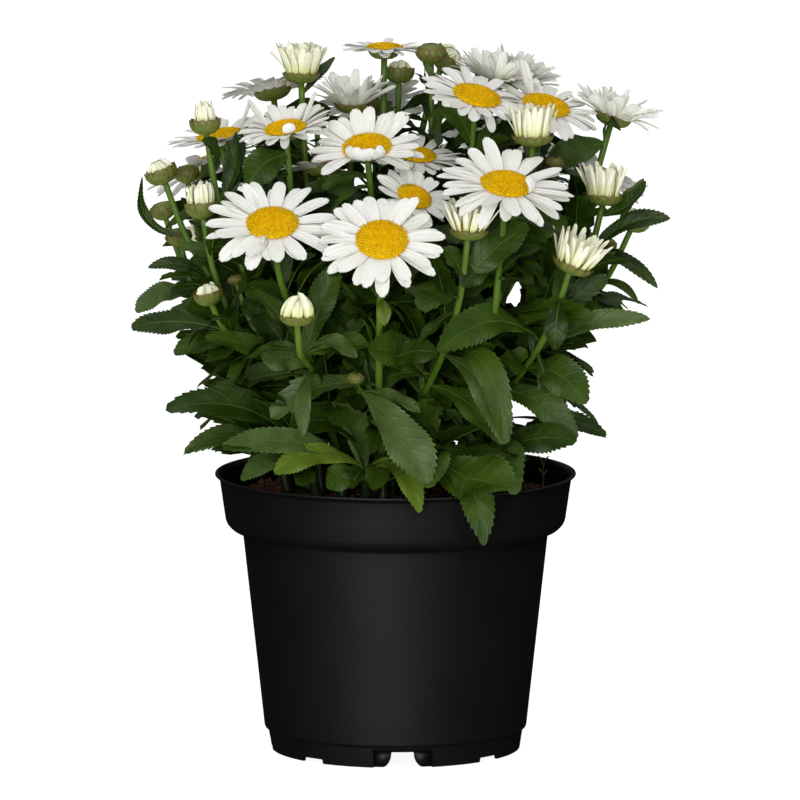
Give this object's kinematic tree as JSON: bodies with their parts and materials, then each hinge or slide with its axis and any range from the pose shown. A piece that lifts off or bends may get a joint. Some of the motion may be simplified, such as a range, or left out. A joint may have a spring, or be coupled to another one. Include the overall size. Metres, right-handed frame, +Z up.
{
  "type": "potted shasta daisy",
  "caption": "Garden daisy in full flower in a black nursery pot: white rays round golden discs, buds, toothed dark green leaves and compost",
  "frame": {"origin": "Centre of the pot's flat underside, on the surface that it stands on", "axes": "+Z up; -Y towards the viewer of the picture; +X to the viewer's right"},
  "size_m": [0.284, 0.2727, 0.374],
  "materials": {
    "plastic": "satin",
    "compost": "matte",
    "stalk": "satin",
    "foliage": "satin"
  },
  "bodies": {
    "root": {"pot": "plastic", "compost": "compost", "stem_01": "stalk", "stem_02": "stalk", "stem_03": "stalk", "stem_04": "stalk", "stem_05": "stalk", "stem_06": "stalk", "stem_07": "stalk", "stem_08": "stalk", "stem_09": "stalk", "stem_10": "stalk", "stem_11": "stalk", "stem_12": "stalk", "stem_13": "stalk", "stem_14": "stalk", "stem_15": "stalk", "stem_16": "stalk", "stem_17": "stalk", "stem_18": "stalk", "stem_19": "stalk", "stem_20": "stalk", "stem_21": "stalk", "crown_01": "foliage", "crown_02": "foliage", "crown_03": "foliage", "crown_04": "foliage", "crown_05": "foliage", "crown_06": "foliage", "crown_07": "foliage", "crown_08": "foliage", "crown_09": "foliage", "crown_10": "foliage", "crown_11": "foliage", "crown_12": "foliage", "crown_13": "foliage", "crown_14": "foliage", "crown_15": "foliage", "crown_16": "foliage", "crown_17": "foliage", "crown_18": "foliage", "crown_19": "foliage", "crown_20": "foliage", "crown_21": "foliage", "tuft_01": "foliage", "tuft_02": "foliage", "tuft_03": "foliage", "tuft_04": "foliage", "tuft_05": "foliage", "tuft_06": "foliage", "tuft_07": "foliage", "tuft_08": "foliage", "tuft_09": "foliage", "tuft_10": "foliage", "tuft_11": "foliage", "tuft_12": "foliage"}
  },
  "joints": []
}
